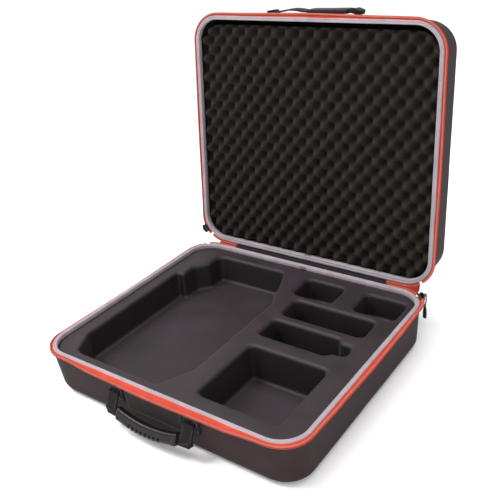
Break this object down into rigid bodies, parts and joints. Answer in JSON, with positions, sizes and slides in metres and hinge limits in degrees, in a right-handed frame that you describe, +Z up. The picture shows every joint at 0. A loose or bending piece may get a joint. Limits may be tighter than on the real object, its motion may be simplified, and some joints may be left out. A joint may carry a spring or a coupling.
{
  "type": "drone carrying case",
  "caption": "Moulded fabric-covered carrying case with a zipped hinged lid, carry handles, a pocketed foam tray and an egg-crate foam lid lining.",
  "frame": {"origin": "centre of the flat underside of the base", "axes": "+X along the hinge line, to the right seen from the carry handle; -Y towards the carry handle; +Z up out of the base"},
  "size_m": [0.4349, 0.4997, 0.4687],
  "materials": {
    "shell_fabric": "fine woven laminate",
    "binding_tape": "woven binding tape",
    "zip_tape": "woven zipper tape",
    "zip_coil": "moulded coil teeth",
    "tray_velvet": "short-pile velour over foam",
    "lid_foam": "open-cell foam",
    "webbing": "ribbed polyester webbing",
    "grip_rubber": "satin moulded rubber",
    "slider_metal": "black painted die-cast"
  },
  "bodies": {
    "base": {"base_shell": "shell_fabric", "base_binding": "binding_tape", "base_zipper_tape": "zip_tape", "base_zipper_coil": "zip_coil", "base_rear_tape_right": "zip_tape", "base_rear_tape_left": "zip_tape", "base_hinge_leaf": "webbing", "foam_tray": "tray_velvet", "zip_stop_right": "slider_metal", "zip_stop_left": "slider_metal", "base_anchor_right": "webbing", "base_anchor_left": "webbing", "handle_patch": "webbing"},
    "lid": {"lid_shell": "shell_fabric", "lid_binding": "binding_tape", "lid_zipper_tape": "zip_tape", "lid_zipper_coil": "zip_coil", "lid_rear_tape_right": "zip_tape", "lid_rear_tape_left": "zip_tape", "lid_hinge_leaf": "webbing", "lid_foam_pad": "lid_foam", "lid_egg_crate_foam": "lid_foam", "lid_anchor_right": "webbing", "lid_anchor_left": "webbing"},
    "carry_handle": {"grip_strap": "webbing", "rubber_grip": "grip_rubber"},
    "lid_handle": {"lid_strap": "webbing", "strap_wrap": "webbing"},
    "right_slider": {"slider_right": "slider_metal"},
    "right_pull": {"pull_cord_right": "webbing", "pull_tab_right": "grip_rubber"},
    "left_slider": {"slider_left": "slider_metal"},
    "left_pull": {"pull_cord_left": "webbing", "pull_tab_left": "grip_rubber"}
  },
  "joints": [
    {"name": "lid_hinge", "type": "hinge", "parent": "base", "child": "lid", "pos_m": [0, 0.1974, 0.069], "axis": [-1, 0, 0], "range_deg": [-93.75, 86.25]},
    {"name": "carry_handle_swing", "type": "hinge", "parent": "base", "child": "carry_handle", "pos_m": [0, -0.196, 0.047], "axis": [-1, 0, 0], "range_deg": [-23, 110]},
    {"name": "lid_handle_swing", "type": "hinge", "parent": "lid", "child": "lid_handle", "pos_m": [0, 0.24609, 0.46026], "axis": [-1, 0, 0], "range_deg": [0, 14]},
    {"name": "right_slider_travel", "type": "hinge", "parent": "base", "child": "right_slider", "pos_m": [0.164, 0.15, 0.069], "axis": [0, 0, -1], "range_deg": [0, 36]},
    {"name": "right_pull_swing", "type": "hinge", "parent": "right_slider", "child": "right_pull", "pos_m": [0.20254, 0.18854, 0.069], "axis": [0.7071, -0.7071, 0], "range_deg": [-3, 140]},
    {"name": "left_slider_travel", "type": "hinge", "parent": "lid", "child": "left_slider", "pos_m": [-0.164, 0.2005, 0.1163], "axis": [0, 0.9979, -0.0654], "range_deg": [0, 30]},
    {"name": "left_pull_swing", "type": "hinge", "parent": "left_slider", "child": "left_pull", "pos_m": [-0.20864, 0.19846, 0.08511], "axis": [-0.5736, 0.0536, 0.8174], "range_deg": [-20, 130]}
  ]
}
